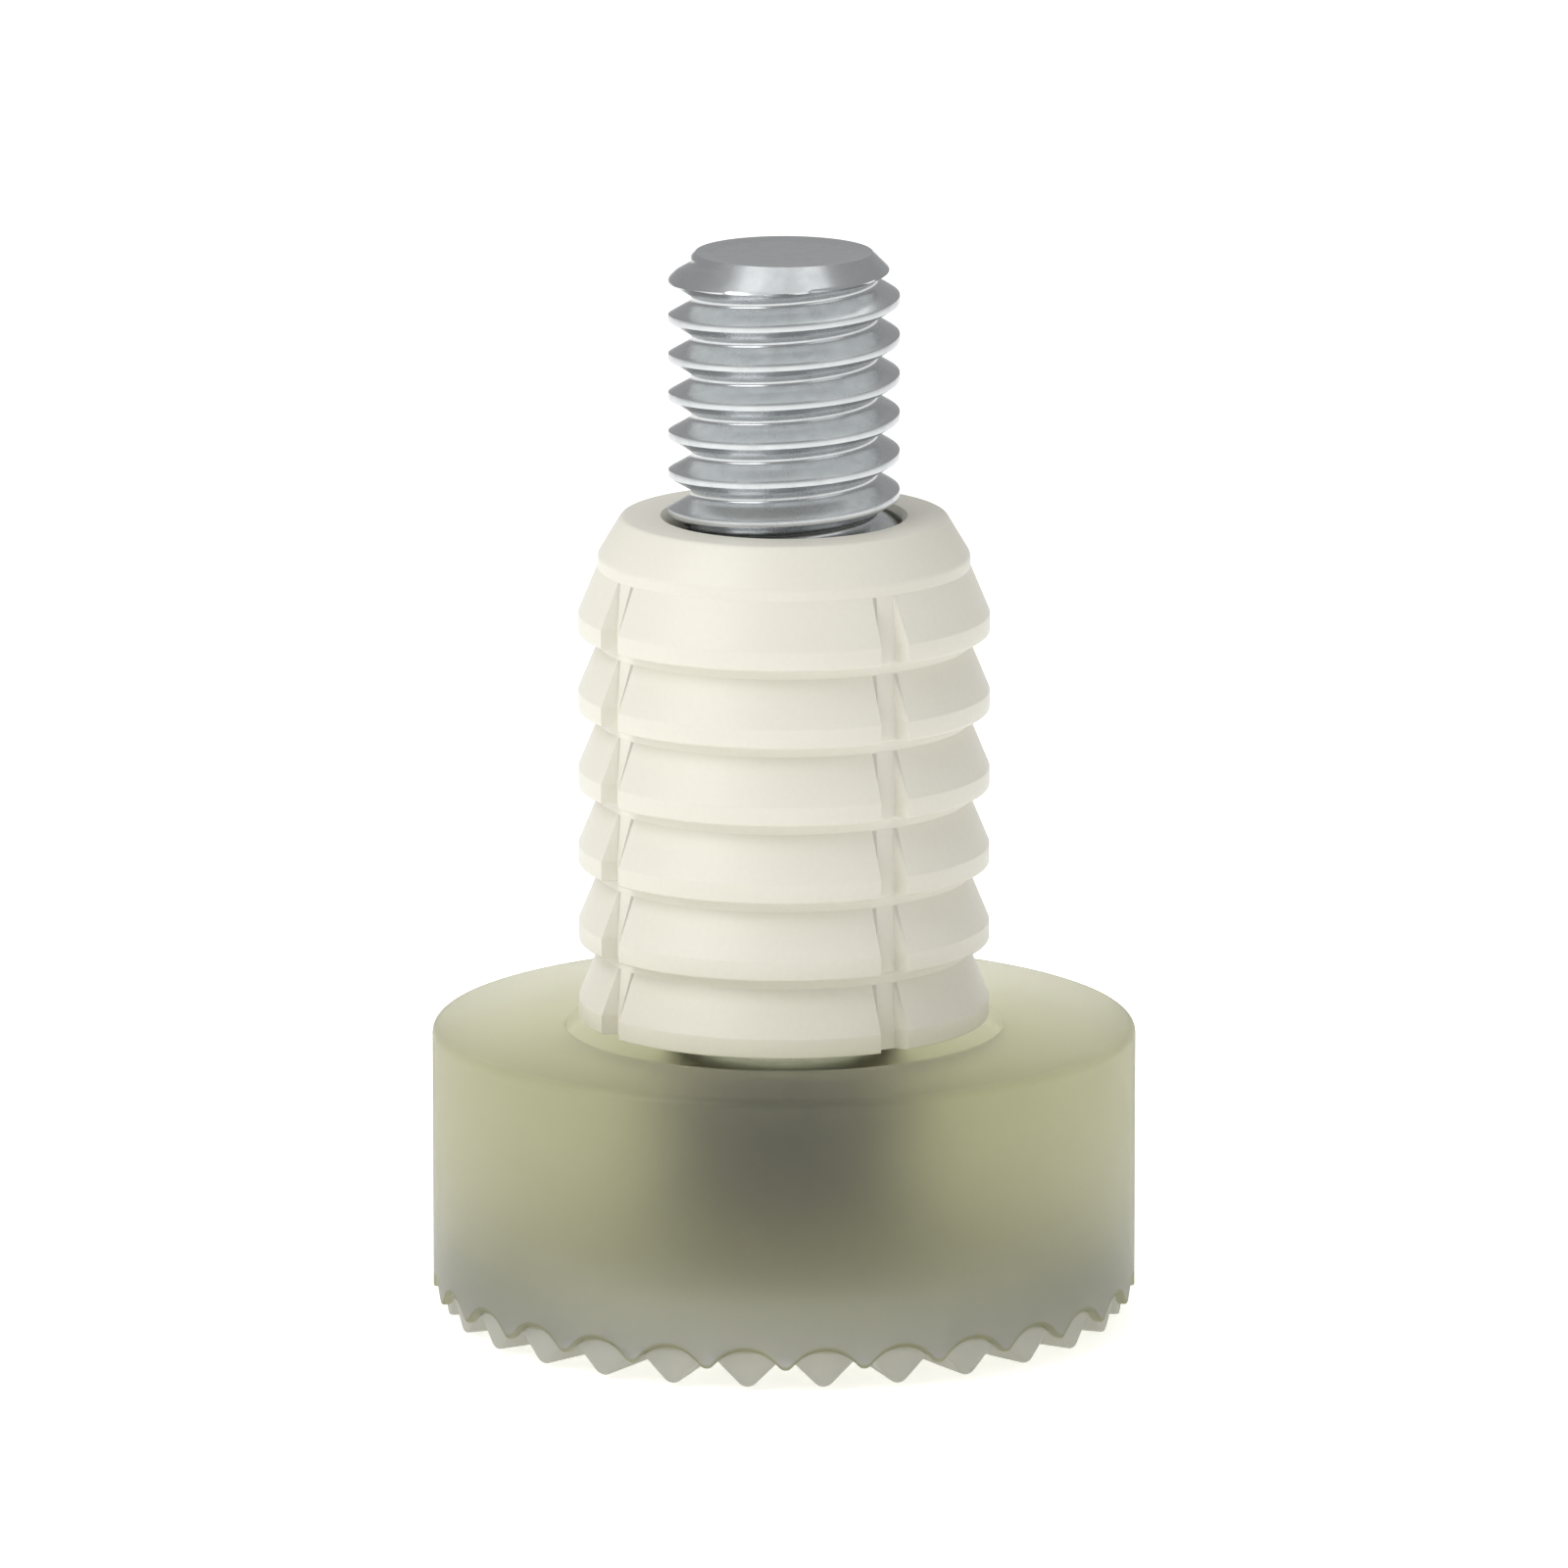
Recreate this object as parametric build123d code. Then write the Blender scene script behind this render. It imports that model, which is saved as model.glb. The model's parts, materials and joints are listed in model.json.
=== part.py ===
from build123d import *
import os
from math import ceil, cos, pi, radians, sin, tan

# Screw-in levelling foot for the lower edge of a furniture panel, in millimetres.
# The origin is the middle of the floor contact, +Z is up along the stem, and the foot is
# shown screwed fully home: the ring on top of its toothed body is where the panel rests.
# The pieces from the floor up are a glide disc, a toothed body, a threaded stem and a sleeve.

# ---- toothed body: the finger wheel that carries the panel ----
body_diameter = 18.0
body_height = 7.5  # tooth tips to the face that meets the panel
body_edge_radius = 0.25
relief_depth = 0.5  # dish in the top face, round the stem
relief_clearance = 0.35  # between the dish's wall and the sleeve above it

# ---- serrated rim: radial ridges, each seen end-on under an arch in the wall ----
tooth_count = 28
tooth_tip_radius = 0.3
tooth_flank_angle = 45.0
tooth_depth = 0.85  # tips to the floor between the ridges
cusp_lift = 0.52  # wall's lowest points, above the tooth tips
cusp_width = 0.3
arch_rise = 0.5
arch_set_in = 0.3  # how far a tooth's end stands inside the wall
ridge_overlap = 0.1  # how far a ridge runs into the floor and the wall

# ---- glide disc: stays still on the floor while the body turns on it ----
disc_diameter = 11.2
disc_thickness = 1.65
disc_proud = 0.1  # below the tooth tips
disc_edge_chamfer = 0.3
disc_clearance = 0.1
bead_height = 0.3
bead_overhang = 0.25  # snap bead, past the disc's side
bead_chamfer = 0.15
thrust_ring_inner = 3.5
thrust_ring_outer = 4.5
thrust_ring_height = 0.1
gate_recess_radius = 1.0
gate_recess_depth = 0.2

# ---- threaded stem: moulded into the body ----
thread_diameter = 6.0
thread_pitch = 1.0
stem_crest_relief = 0.05  # crests, under the nominal radius
stem_root_relief = 0.02  # roots, under the basic minor radius
stem_reach = 20.0  # above the face that meets the panel
stem_tip_chamfer = 0.7
web_under_stem = 0.25  # plastic left between the stem and the disc
knurl_count = 24
knurl_depth = 0.25
knurl_end_chamfer = 0.3
knurl_to_relief = 0.4  # the knurl stops this far under the dish
retention_groove_width = 1.0
retention_groove_depth = 0.5
thread_start = 0.5  # first full crest, above the face that meets the panel
thread_runout = 0.6

# ---- insert sleeve: driven into a hole in the panel's edge ----
hole_diameter = 10.0
sleeve_bite = 0.25  # how far the barbs stand past the hole's wall
sleeve_length = 13.0
sleeve_inset = 0.2  # its lower face, above the panel's edge
barb_pitch = 2.0
barb_land = 0.5
barb_slope = 1.2
barb_depth = 0.5
nose_length = 1.0
nose_taper = 0.6
spline_slots = 4
spline_slot_width = 0.8
spline_slot_depth = 0.4
mouth_chamfer = 0.6
thread_crest_gap = 0.13  # sleeve thread, radially clear of the stem's crests
thread_root_gap = 0.18  # sleeve thread, radially clear of the stem's roots
thread_flank_gap = 0.115  # along the axis, on each side of the stem's ridge

# ---- places that follow from the sizes above ----
body_radius = body_diameter / 2
tip_z = disc_proud
top_z = tip_z + body_height
ridge_floor_z = tip_z + tooth_depth
cusp_z = tip_z + cusp_lift
arch_top_z = cusp_z + arch_rise
tooth_end_radius = body_radius - arch_set_in

disc_radius = disc_diameter / 2
bead_radius = disc_radius + bead_overhang
bead_z = disc_thickness - bead_height
lip_radius = disc_radius + disc_clearance
pocket_radius = bead_radius + disc_clearance
lip_top_z = bead_z - disc_clearance
pocket_top_z = disc_thickness + thrust_ring_height

sleeve_radius = hole_diameter / 2 + sleeve_bite
sleeve_root_radius = sleeve_radius - barb_depth
sleeve_z = top_z + sleeve_inset
sleeve_top_z = sleeve_z + sleeve_length
relief_radius = sleeve_radius + relief_clearance
relief_z = top_z - relief_depth

stem_z = pocket_top_z + web_under_stem
stem_top_z = top_z + stem_reach
knurl_top_z = relief_z - knurl_to_relief
thread_z = top_z + thread_start

# 60 degree metric thread: under the nominal radius, the pitch line is 3/8 of the sharp
# profile's height down, and the rounded root 17/24 of it
flank_slope = tan(radians(30))
sharp_height = thread_pitch * cos(radians(30))
pitch_radius = thread_diameter / 2 - 3 / 8 * sharp_height
crest_radius = thread_diameter / 2 - stem_crest_relief
root_radius = thread_diameter / 2 - 17 / 24 * sharp_height - stem_root_relief
sleeve_crest_radius = root_radius + thread_root_gap
sleeve_thread_radius = crest_radius + thread_crest_gap
thread_overlap = 0.05  # ridges start this far inside the wall that they grow from
spare_turns = 1.3  # thread made past each end of the sleeve, and then cut away
thread_origin_z = sleeve_z - spare_turns * thread_pitch  # both threads start here or whole turns above


def turned(points):
    """Solid of revolution about Z from (radius, height) corners."""
    outline = Polyline(points, close=True)
    return revolve(Plane.XZ * make_face(outline), axis=Axis.Z)


def ring_of(count, piece):
    """Copies of a piece, evenly spaced about Z."""
    return [Rot(0, 0, 360 * i / count) * piece for i in range(count)]


def ridge_half_width(radius, extra=0.0):
    """Half the width, along the axis, of the stem's thread ridge at a radius."""
    return thread_pitch / 4 - (radius - pitch_radius) * flank_slope + extra


def helical_ridge(inner, outer, extra, start_z, turns):
    """Right-hand helical ridge between two radii, wider than the stem's by extra on each side."""
    corners = [
        (inner, -ridge_half_width(inner, extra)),
        (outer, -ridge_half_width(outer, extra)),
        (outer, ridge_half_width(outer, extra)),
        (inner, ridge_half_width(inner, extra)),
    ]
    section = Plane.XZ * make_face(Polyline(corners, close=True))
    path = Helix(pitch=thread_pitch, height=turns * thread_pitch, radius=pitch_radius)
    return Pos(0, 0, start_z) * sweep(section, path=path, is_frenet=True)


def tooth_ridge():
    """One radial ridge of the serrated rim, with a rounded tip, along +X."""
    flank = radians(tooth_flank_angle)
    side = tooth_tip_radius * sin(flank)
    side_z = tip_z + tooth_tip_radius * (1 - cos(flank))
    root_z = ridge_floor_z + ridge_overlap
    root = side + (root_z - side_z) / tan(flank)
    outline = [
        Line((-root, root_z), (-side, side_z)),
        ThreePointArc((-side, side_z), (0, tip_z), (side, side_z)),
        Line((side, side_z), (root, root_z)),
        Line((root, root_z), (-root, root_z)),
    ]
    inner = lip_radius - ridge_overlap
    outer = tooth_end_radius + ridge_overlap
    section = Plane.YZ.offset(inner) * make_face(outline)
    return extrude(section, amount=outer - inner)


def arch_cutter():
    """Round cut along +X that opens the wall above one tooth."""
    half_width = pi * body_radius / tooth_count - cusp_width / 2
    radius = (half_width**2 + arch_rise**2) / (2 * arch_rise)
    section = Plane.YZ.offset(tooth_end_radius) * Pos(0, arch_top_z - radius) * Circle(radius)
    return extrude(section, amount=2 * arch_set_in)


def stem_anchor():
    """The stem's knurled lower end with its retention groove, up to the thread."""
    knurl_middle_z = (stem_z + knurl_top_z) / 2
    groove_radius = crest_radius - retention_groove_depth
    half_groove = retention_groove_width / 2
    blank = turned(
        [
            (0, stem_z),
            (crest_radius - knurl_end_chamfer, stem_z),
            (crest_radius, stem_z + knurl_end_chamfer),
            (crest_radius, knurl_middle_z - half_groove),
            (groove_radius, knurl_middle_z - half_groove),
            (groove_radius, knurl_middle_z + half_groove),
            (crest_radius, knurl_middle_z + half_groove),
            (crest_radius, knurl_top_z),
            (root_radius, knurl_top_z),
            (root_radius, thread_z),
            (0, thread_z),
        ]
    )
    notch = Polyline(
        [
            (crest_radius - knurl_depth, 0),
            (crest_radius + knurl_depth, -2 * knurl_depth),
            (crest_radius + knurl_depth, 2 * knurl_depth),
        ],
        close=True,
    )
    notch_cut = extrude(Pos(0, 0, stem_z) * make_face(notch), amount=knurl_top_z - stem_z)
    return blank - ring_of(knurl_count, notch_cut)


def threaded_stem():
    """M6 stem: the anchor, a plain core, and a helical thread that runs out at both ends."""
    tip_radius = crest_radius - stem_tip_chamfer
    core = turned(
        [
            (0, thread_z),
            (root_radius, thread_z),
            (root_radius, stem_top_z - stem_tip_chamfer + crest_radius - root_radius),
            (tip_radius, stem_top_z),
            (0, stem_top_z),
        ]
    )
    runout_slope = thread_runout / (crest_radius - root_radius)
    envelope_radius = crest_radius + stem_tip_chamfer
    envelope = turned(
        [
            (0, thread_z),
            (root_radius, thread_z),
            (envelope_radius, thread_z + (envelope_radius - root_radius) * runout_slope),
            (envelope_radius, stem_top_z - 2 * stem_tip_chamfer),
            (tip_radius, stem_top_z),
            (0, stem_top_z),
        ]
    )
    start_z = thread_origin_z + thread_pitch
    turns = ceil((stem_top_z - start_z) / thread_pitch) + 1
    ridge = helical_ridge(root_radius - thread_overlap, crest_radius, 0.0, start_z, turns)
    return stem_anchor() + core + (ridge & envelope)


def toothed_body():
    """Plastic foot: a barrel with a serrated rim, a pocket for the disc and the stem moulded in."""
    barrel = turned(
        [
            (0, pocket_top_z),
            (pocket_radius, pocket_top_z),
            (pocket_radius, lip_top_z),
            (lip_radius, lip_top_z),
            (lip_radius, ridge_floor_z),
            (tooth_end_radius, ridge_floor_z),
            (tooth_end_radius, cusp_z),
            (body_radius, cusp_z),
            (body_radius, top_z),
            (relief_radius, top_z),
            (relief_radius, relief_z),
            (0, relief_z),
        ]
    )
    top_edges = barrel.edges().filter_by(GeomType.CIRCLE).group_by(Axis.Z)[-1]
    barrel = fillet(top_edges.sort_by(SortBy.RADIUS)[-1], body_edge_radius)
    ridges = ring_of(tooth_count, tooth_ridge())
    pocket_mouth = extrude(Circle(lip_radius), amount=ridge_floor_z)
    serrated = barrel + ridges - pocket_mouth
    return serrated - ring_of(tooth_count, arch_cutter()) - stem_anchor()


def glide_disc():
    """Floor disc with a snap bead, and a thrust ring that bears on the pocket's ceiling."""
    return turned(
        [
            (0, gate_recess_depth),
            (gate_recess_radius, gate_recess_depth),
            (gate_recess_radius, 0),
            (disc_radius - disc_edge_chamfer, 0),
            (disc_radius, disc_edge_chamfer),
            (disc_radius, bead_z),
            (bead_radius, bead_z),
            (bead_radius, disc_thickness - bead_chamfer),
            (bead_radius - bead_chamfer, disc_thickness),
            (thrust_ring_outer, disc_thickness),
            (thrust_ring_outer, pocket_top_z),
            (thrust_ring_inner, pocket_top_z),
            (thrust_ring_inner, disc_thickness),
            (0, disc_thickness),
        ]
    )


def insert_sleeve():
    """Knock-in sleeve: barbed rings and splines outside, the stem's thread inside."""
    barb_count = int((sleeve_length - nose_length) / barb_pitch)
    mouth_radius = sleeve_crest_radius + mouth_chamfer
    corners = [(0, sleeve_z + mouth_chamfer), (sleeve_crest_radius, sleeve_z + mouth_chamfer)]
    corners.append((mouth_radius, sleeve_z))
    for i in range(barb_count):
        z = sleeve_z + i * barb_pitch
        if i > 0:
            corners.append((sleeve_root_radius, z))
        corners.append((sleeve_radius, z))
        corners.append((sleeve_radius, z + barb_land))
        corners.append((sleeve_root_radius, z + barb_land + barb_slope))
    corners.append((sleeve_root_radius, sleeve_top_z - nose_length))
    corners.append((sleeve_root_radius - nose_taper, sleeve_top_z))
    corners.append((0, sleeve_top_z))
    blank = turned(corners)
    slot = Pos(sleeve_radius, 0, sleeve_z + sleeve_length / 2) * Box(
        2 * spline_slot_depth, spline_slot_width, sleeve_length
    )
    groove = helical_ridge(
        sleeve_crest_radius - thread_overlap,
        sleeve_thread_radius,
        thread_flank_gap,
        thread_origin_z,
        ceil(sleeve_length / thread_pitch) + 2 * spare_turns,
    )
    past_end = ceil(spare_turns) * thread_pitch
    core_length = sleeve_length + 2 * past_end
    core = Pos(0, 0, sleeve_z + sleeve_length / 2) * Cylinder(sleeve_crest_radius, core_length)
    return blank - ring_of(spline_slots, slot) - (core + groove)


os.makedirs("parts", exist_ok=True)
for node in (glide_disc, toothed_body, threaded_stem, insert_sleeve):
    export_step(node(), f"parts/{node.__name__}.step")
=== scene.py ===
import json
import math

import bpy
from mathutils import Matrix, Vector


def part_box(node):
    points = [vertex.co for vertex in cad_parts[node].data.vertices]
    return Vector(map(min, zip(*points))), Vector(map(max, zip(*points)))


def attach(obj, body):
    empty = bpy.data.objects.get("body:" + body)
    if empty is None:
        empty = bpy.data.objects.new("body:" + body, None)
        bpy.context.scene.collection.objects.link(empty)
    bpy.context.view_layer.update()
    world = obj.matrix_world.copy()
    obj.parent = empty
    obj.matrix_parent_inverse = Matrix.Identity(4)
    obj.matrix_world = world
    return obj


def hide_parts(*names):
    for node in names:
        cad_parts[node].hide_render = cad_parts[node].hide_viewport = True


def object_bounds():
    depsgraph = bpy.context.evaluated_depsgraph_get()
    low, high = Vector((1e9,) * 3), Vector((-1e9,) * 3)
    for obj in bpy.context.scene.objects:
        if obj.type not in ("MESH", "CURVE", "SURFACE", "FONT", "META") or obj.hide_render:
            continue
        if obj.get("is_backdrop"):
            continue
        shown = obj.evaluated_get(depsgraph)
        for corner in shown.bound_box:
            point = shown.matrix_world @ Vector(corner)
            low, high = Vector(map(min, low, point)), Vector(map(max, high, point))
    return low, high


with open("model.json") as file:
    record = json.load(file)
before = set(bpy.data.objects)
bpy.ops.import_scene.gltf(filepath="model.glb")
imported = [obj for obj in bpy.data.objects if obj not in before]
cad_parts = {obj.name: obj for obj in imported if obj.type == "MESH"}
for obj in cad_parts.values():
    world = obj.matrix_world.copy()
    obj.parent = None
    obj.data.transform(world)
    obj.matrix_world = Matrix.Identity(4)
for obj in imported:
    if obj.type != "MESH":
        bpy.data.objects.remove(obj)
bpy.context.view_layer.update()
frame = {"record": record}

bl_info = {
    "name": "Levelling Foot",
    "version": (1, 0, 0),
    "blender": (4, 5, 0),
    "location": "View3D > Sidebar > Levelling Foot",
    "description": "Builds a screw-in furniture levelling foot with a toothed translucent body",
    "category": "Add Mesh",
}

MM = 0.001
WELD = 0.002 * MM  # seams closer than this are joined
EDGE_SHADE = "edge"  # vertex attribute: 1 along the wall's lower edge, which carries a painted shade line
THIN_PAINTED_GREY = "thin"  # vertex attribute: 1 on the teeth, which are painted greyer
POCKET_LIGHT = "pocket"  # vertex attribute: 1 round the pocket that holds the disc, whose walls are painted lighter
FLANK = math.radians(30)  # a metric thread's flanks lean this far from square to its axis
SPARE_TURNS = 1.3  # both threads' rows start this many turns under the sleeve
SHARP_ANGLE = math.radians(38)  # edges that turn by more than this are shaded sharp
OUTPUT = "Output"  # name of each material's output node

# name, azimuth and elevation in degrees, side in heights of the foot, power in watts
LIGHTS = (
    ("key_light", -85.0, 40.0, 6.0, 0.26),
    ("fill_light", 20.0, 30.0, 6.0, 0.05),
    ("top_light", 150.0, 75.0, 8.0, 0.16),
)
LIGHT_DISTANCE = 8  # heights of the foot
FLOOR_REACH = 60  # heights of the foot, to the sides and behind
FLOOR_FRONT = 45  # heights of the foot, in front
FLOOR_GAP = 0.02 * MM  # the floor lies this far under the foot

BODY_LOW, BODY_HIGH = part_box("toothed_body")
STEM_LOW, STEM_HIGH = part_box("threaded_stem")
SLEEVE_LOW, SLEEVE_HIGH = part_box("insert_sleeve")
DISC_LOW, DISC_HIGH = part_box("glide_disc")
BARREL_MOUNT = next(m for m in frame["record"]["mounts"] if m["name"] == "sleeve_barrel")


# ---------------------------------------------------------------------------------------------
# Settings
# ---------------------------------------------------------------------------------------------


def length(name, description, default):
    """A length in metres, given in millimetres."""
    return bpy.props.FloatProperty(
        name=name, description=description, default=default * MM, precision=5, unit="LENGTH"
    )


def colour_of(description, default):
    """A colour, given as an sRGB hex value."""
    return bpy.props.StringProperty(name="Colour", description=description, default=default)


class BodySettings(bpy.types.PropertyGroup):
    """Toothed plastic body."""

    tooth_count: bpy.props.IntProperty(name="Teeth", description="Ridges round the rim", default=28, min=6)
    tooth_tip: length("Tooth tip radius", "Rounding of each ridge", 0.3)
    tooth_depth: length("Tooth depth", "Ridge tips to the floor between them", 0.85)
    tooth_end: length("Tooth end rounding", "Rounding of a ridge's outer end", 0.14)
    arch_rise: length("Arch rise", "Height of the arch over each tooth", 0.5)
    cusp_lift: length("Cusp lift", "Wall's lowest points above the tooth tips", 0.52)
    cusp_width: length("Cusp width", "Width of the wall between two arches", 0.3)
    cusp_rounding: length("Cusp rounding", "Rounding of the wall's lowest points", 0.25)
    set_in: length("Tooth set-in", "How far the teeth stand inside the wall", 0.3)
    edge: length("Top edge radius", "Rounding of the top edge", 0.25)
    relief_radius: length("Relief radius", "Dish round the stem", 5.6)
    relief_depth: length("Relief depth", "Depth of the dish round the stem", 0.5)
    lip_radius: length("Lip radius", "Mouth of the pocket that holds the disc", 5.7)
    lip_top: length("Lip top", "Height of the lip that holds the disc's bead", 1.25)
    pocket_radius: length("Pocket radius", "Pocket above the lip", 5.95)
    colour: colour_of("Plastic's own colour", "#E2E1D6")


class StemSettings(bpy.types.PropertyGroup):
    """Threaded steel stem."""

    pitch: length("Pitch", "Thread pitch", 1.0)
    nominal: length("Nominal radius", "Half the thread's nominal diameter", 3.0)
    crest: length("Crest radius", "Radius of the thread's crests", 2.95)
    root: length("Root radius", "Radius between the thread's crests", 2.367)
    thread_start: length("Thread start", "Start of the thread above the body's top", 0.5)
    chamfer: length("End chamfer", "Chamfer on the stem's free end", 0.7)
    knurl_count: bpy.props.IntProperty(
        name="Knurl", description="Notches round the moulded-in end", default=24, min=6
    )
    knurl_depth: length("Knurl depth", "Depth of the knurl's notches", 0.25)
    knurl_cover: length("Knurl cover", "Plastic over the knurl, under the dish", 0.4)
    knurl_chamfer: length("Knurl chamfer", "Chamfer on the moulded-in end", 0.3)
    groove_width: length("Groove width", "Width of the groove that the plastic locks into", 1.0)
    groove_depth: length("Groove depth", "Depth of the groove that the plastic locks into", 0.5)
    colour: colour_of("Zinc plating", "#CED1D3")


class SleeveSettings(bpy.types.PropertyGroup):
    """Knock-in sleeve."""

    barb_pitch: length("Barb pitch", "Distance from barb to barb", 2.0)
    barb_land: length("Barb land", "Flat crest of each barb", 0.5)
    barb_slope: length("Barb slope", "Length of each barb's sloping side", 1.2)
    barb_depth: length("Barb depth", "Height of the barbs over the sleeve's wall", 0.5)
    nose_length: length("Nose length", "Tapered leading end", 1.0)
    nose_taper: length("Nose taper", "How far the leading end narrows", 0.6)
    slot_depth: length("Slot depth", "Depth of the slots that cut the barbs", 0.4)
    mouth: length("Mouth chamfer", "Chamfer at the mouth of the thread", 0.6)
    crest_gap: length("Crest gap", "Room over the stem's crests", 0.13)
    root_gap: length("Root gap", "Room over the stem's roots", 0.18)
    flank_gap: length("Flank gap", "Room along the axis on each side of the stem's ridge", 0.115)
    colour: colour_of("Plastic's own colour", "#DEDBCF")


class DiscSettings(bpy.types.PropertyGroup):
    """Glide disc."""

    bead: length("Bead", "How far the snap bead stands out", 0.25)
    bead_height: length("Bead height", "Height of the snap bead", 0.3)
    bead_chamfer: length("Bead chamfer", "Chamfer that leads the bead into the pocket", 0.15)
    ring_inner: length("Ring inside", "Inner radius of the ring that carries the body", 3.5)
    ring_outer: length("Ring outside", "Outer radius of the ring that carries the body", 4.5)
    ring_height: length("Ring height", "Height of the ring that carries the body", 0.1)
    edge: length("Edge radius", "Rounding of the floor edge", 0.3)
    gate_radius: length("Gate radius", "Recess round the moulding gate", 1.0)
    gate_depth: length("Gate depth", "Depth of the gate recess", 0.2)
    colour: colour_of("Acetal's own colour", "#E9E8E2")


class StageSettings(bpy.types.PropertyGroup):
    """Camera, floor and lights."""

    azimuth: bpy.props.FloatProperty(
        name="Azimuth",
        description="Camera's turn round the foot",
        default=math.radians(-32.4),
        unit="ROTATION",
    )
    elevation: bpy.props.FloatProperty(
        name="Elevation",
        description="Camera's height over the horizon",
        default=math.radians(12.1),
        unit="ROTATION",
    )
    distance: length("Distance", "Camera's distance from the foot", 413.0)
    margin: bpy.props.FloatProperty(
        name="Margin",
        description="Frame's side over the foot's height, with room for the sleeve to rise",
        default=1.45,
    )
    sky: bpy.props.FloatProperty(name="Sky", description="Even light from all round", default=0.42)
    floor_glow: bpy.props.FloatProperty(
        name="Floor glow",
        description="Light that comes up through the floor, as from a light table",
        default=0.65,
    )
    floor_colour: colour_of("Floor's own colour", "#F2F2F0")


class FootSettings(bpy.types.PropertyGroup):
    """All settings of the levelling foot."""

    body: bpy.props.PointerProperty(type=BodySettings)
    stem: bpy.props.PointerProperty(type=StemSettings)
    sleeve: bpy.props.PointerProperty(type=SleeveSettings)
    disc: bpy.props.PointerProperty(type=DiscSettings)
    stage: bpy.props.PointerProperty(type=StageSettings)


# ---------------------------------------------------------------------------------------------
# Shared helpers
# ---------------------------------------------------------------------------------------------


def linear(hex_colour):
    """sRGB hex to a linear colour with alpha."""
    parts = [int(hex_colour[i : i + 2], 16) / 255 for i in (1, 3, 5)]
    return tuple(c / 12.92 if c <= 0.04045 else ((c + 0.055) / 1.055) ** 2.4 for c in parts) + (1.0,)


def add_node(tree, kind, settings=None, inputs=None):
    """Adds a node, then sets or links its inputs, which are given by name or number."""
    node = tree.nodes.new(kind)
    for key, value in (settings or {}).items():
        setattr(node, key, value)
    for key, value in (inputs or {}).items():
        if isinstance(value, bpy.types.NodeSocket):
            tree.links.new(value, node.inputs[key])
        else:
            node.inputs[key].default_value = value
    return node


def smooth_max(a, b, blend):
    """The larger of two numbers, rounded where they cross."""
    overlap = max(blend - abs(a - b), 0.0) / blend
    return max(a, b) + overlap * overlap * blend / 4


def smooth_min(a, b, blend):
    """The smaller of two numbers, rounded where they cross."""
    return -smooth_max(-a, -b, blend)


def smooth_step(t):
    """Eases from 0 to 1."""
    t = min(max(t, 0.0), 1.0)
    return t * t * (3 - 2 * t)


def rounded(corners, steps=5):
    """Path through (radius, height, rounding) corners, with an arc at each corner that has a rounding."""
    path = []
    for i, (r, z, rounding) in enumerate(corners):
        here = Vector((r, z))
        if rounding <= 0 or i in (0, len(corners) - 1):
            path.append((r, z))
            continue
        back = (Vector(corners[i - 1][:2]) - here).normalized()
        ahead = (Vector(corners[i + 1][:2]) - here).normalized()
        half = math.acos(max(-1.0, min(1.0, back.dot(ahead)))) / 2
        centre = here + (back + ahead).normalized() * (rounding / math.sin(half))
        start = here + back * (rounding / math.tan(half)) - centre
        end = here + ahead * (rounding / math.tan(half)) - centre
        sweep = start.angle_signed(end)
        for k in range(steps + 1):
            turn = -sweep * k / steps
            arm = Vector(
                (
                    start.x * math.cos(turn) - start.y * math.sin(turn),
                    start.x * math.sin(turn) + start.y * math.cos(turn),
                )
            )
            path.append(tuple(centre + arm))
    return path


def direction(azimuth, elevation):
    """Unit vector to a place at this turn from -Y and this height over the horizon, in radians."""
    return Vector(
        (
            math.sin(azimuth) * math.cos(elevation),
            -math.cos(azimuth) * math.cos(elevation),
            math.sin(elevation),
        )
    )


def new_piece(name, vertices, faces, attributes=None):
    """An object at the origin with this mesh, and with a number on each vertex for each attribute."""
    mesh = bpy.data.meshes.new(name)
    mesh.from_pydata(vertices, [], faces)
    for label, values in (attributes or {}).items():
        mesh.attributes.new(label, "FLOAT", "POINT").data.foreach_set("value", values)
    piece = bpy.data.objects.new(name, mesh)
    bpy.context.scene.collection.objects.link(piece)
    return piece


def turned_grid(section_at, angles):
    """Vertices and faces of a surface whose section, a list of (radius, height), is given at each angle."""
    sections = [section_at(a) for a in angles]
    rows = len(sections[0])
    vertices = [
        (r * math.cos(a), r * math.sin(a), z) for a, section in zip(angles, sections) for r, z in section
    ]
    faces = [
        (j * rows + i, j * rows + i + 1, (j + 1) * rows + i + 1, (j + 1) * rows + i)
        for j in range(len(angles) - 1)
        for i in range(rows - 1)
    ]
    return vertices, faces


def new_tree(name, sockets):
    """A geometry tree with a geometry in and out, and these (name, socket type, default) inputs."""
    tree = bpy.data.node_groups.new(name, "GeometryNodeTree")
    tree.interface.new_socket("Geometry", in_out="INPUT", socket_type="NodeSocketGeometry")
    for label, kind, default in sockets:
        socket = tree.interface.new_socket(label, in_out="INPUT", socket_type=kind)
        if default is not None:
            socket.default_value = default
    tree.interface.new_socket("Geometry", in_out="OUTPUT", socket_type="NodeSocketGeometry")
    return tree


def apply_tree(piece, tree, values):
    """Runs a geometry tree on a piece and keeps the result as its plain mesh."""
    modifier = piece.modifiers.new(tree.name, "NODES")
    modifier.node_group = tree
    for item in tree.interface.items_tree:
        if item.in_out == "INPUT" and item.name in values:
            modifier[item.identifier] = values[item.name]
    graph = bpy.context.evaluated_depsgraph_get()
    mesh = bpy.data.meshes.new_from_object(piece.evaluated_get(graph))
    piece.modifiers.clear()
    piece.data = mesh
    mesh.name = piece.name


def finish_piece(piece, node, body):
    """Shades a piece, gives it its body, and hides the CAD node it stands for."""
    piece.data.shade_smooth()
    piece.data.set_sharp_from_angle(angle=SHARP_ANGLE)
    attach(piece, body)
    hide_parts(node)


# ---------------------------------------------------------------------------------------------
# Geometry trees
# ---------------------------------------------------------------------------------------------


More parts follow.
